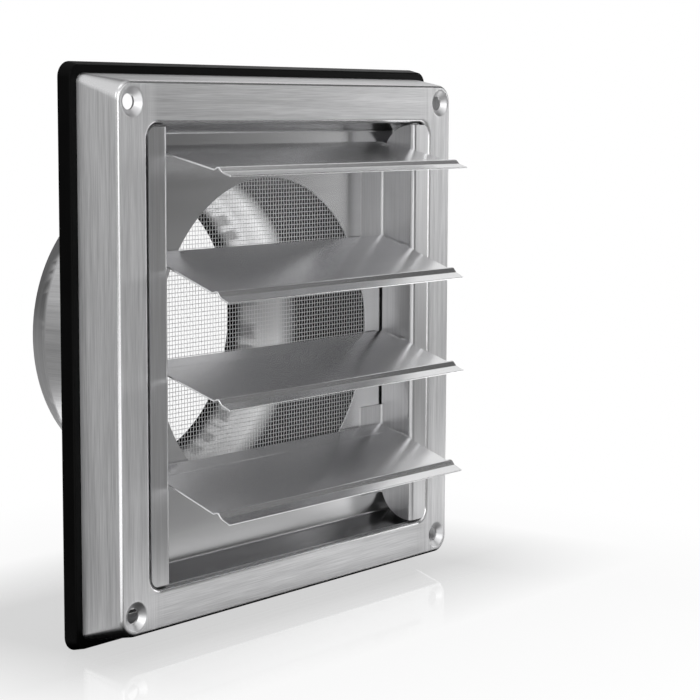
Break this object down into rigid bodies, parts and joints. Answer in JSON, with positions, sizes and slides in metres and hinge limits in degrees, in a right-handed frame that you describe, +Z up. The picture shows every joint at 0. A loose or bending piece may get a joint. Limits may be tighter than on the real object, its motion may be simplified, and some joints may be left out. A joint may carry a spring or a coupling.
{
  "type": "louvred vent grille",
  "caption": "Square stainless wall vent with gravity flaps, an insect mesh, a rubber gasket and a round spigot behind it.",
  "frame": {"origin": "on the axis of the spigot, in the wall plane, which is the rear face of the gasket", "axes": "+Y into the wall along the spigot, +Z up, +X to the right when facing the vent"},
  "size_m": [0.203, 0.1116, 0.203],
  "materials": {
    "brushed_steel": "brushed",
    "satin_steel": "satin",
    "steel_wire": "drawn",
    "rubber": "matt"
  },
  "bodies": {
    "frame": {"front_frame": "brushed_steel", "gasket": "rubber", "back_plate": "satin_steel", "insect_mesh": "steel_wire", "spigot": "brushed_steel", "left_cheek": "satin_steel", "right_cheek": "satin_steel"},
    "flap_1": {"flap_1": "satin_steel", "pivot_rod_1": "steel_wire"},
    "flap_2": {"flap_2": "satin_steel", "pivot_rod_2": "steel_wire"},
    "flap_3": {"flap_3": "satin_steel", "pivot_rod_3": "steel_wire"},
    "flap_4": {"flap_4": "satin_steel", "pivot_rod_4": "steel_wire"}
  },
  "joints": [
    {"name": "flap_1_hinge", "type": "hinge", "parent": "frame", "child": "flap_1", "pos_m": [0, -0.0144, 0.07], "axis": [1, 0, 0], "range_deg": [-12.8, 75.7]},
    {"name": "flap_2_hinge", "type": "hinge", "parent": "frame", "child": "flap_2", "pos_m": [0, -0.0144, 0.0318], "axis": [1, 0, 0], "range_deg": [-20.6, 67.9]},
    {"name": "flap_3_hinge", "type": "hinge", "parent": "frame", "child": "flap_3", "pos_m": [0, -0.0144, -0.0064], "axis": [1, 0, 0], "range_deg": [-17.8, 70.7]},
    {"name": "flap_4_hinge", "type": "hinge", "parent": "frame", "child": "flap_4", "pos_m": [0, -0.0144, -0.0446], "axis": [1, 0, 0], "range_deg": [-20.2, 68.3]}
  ]
}
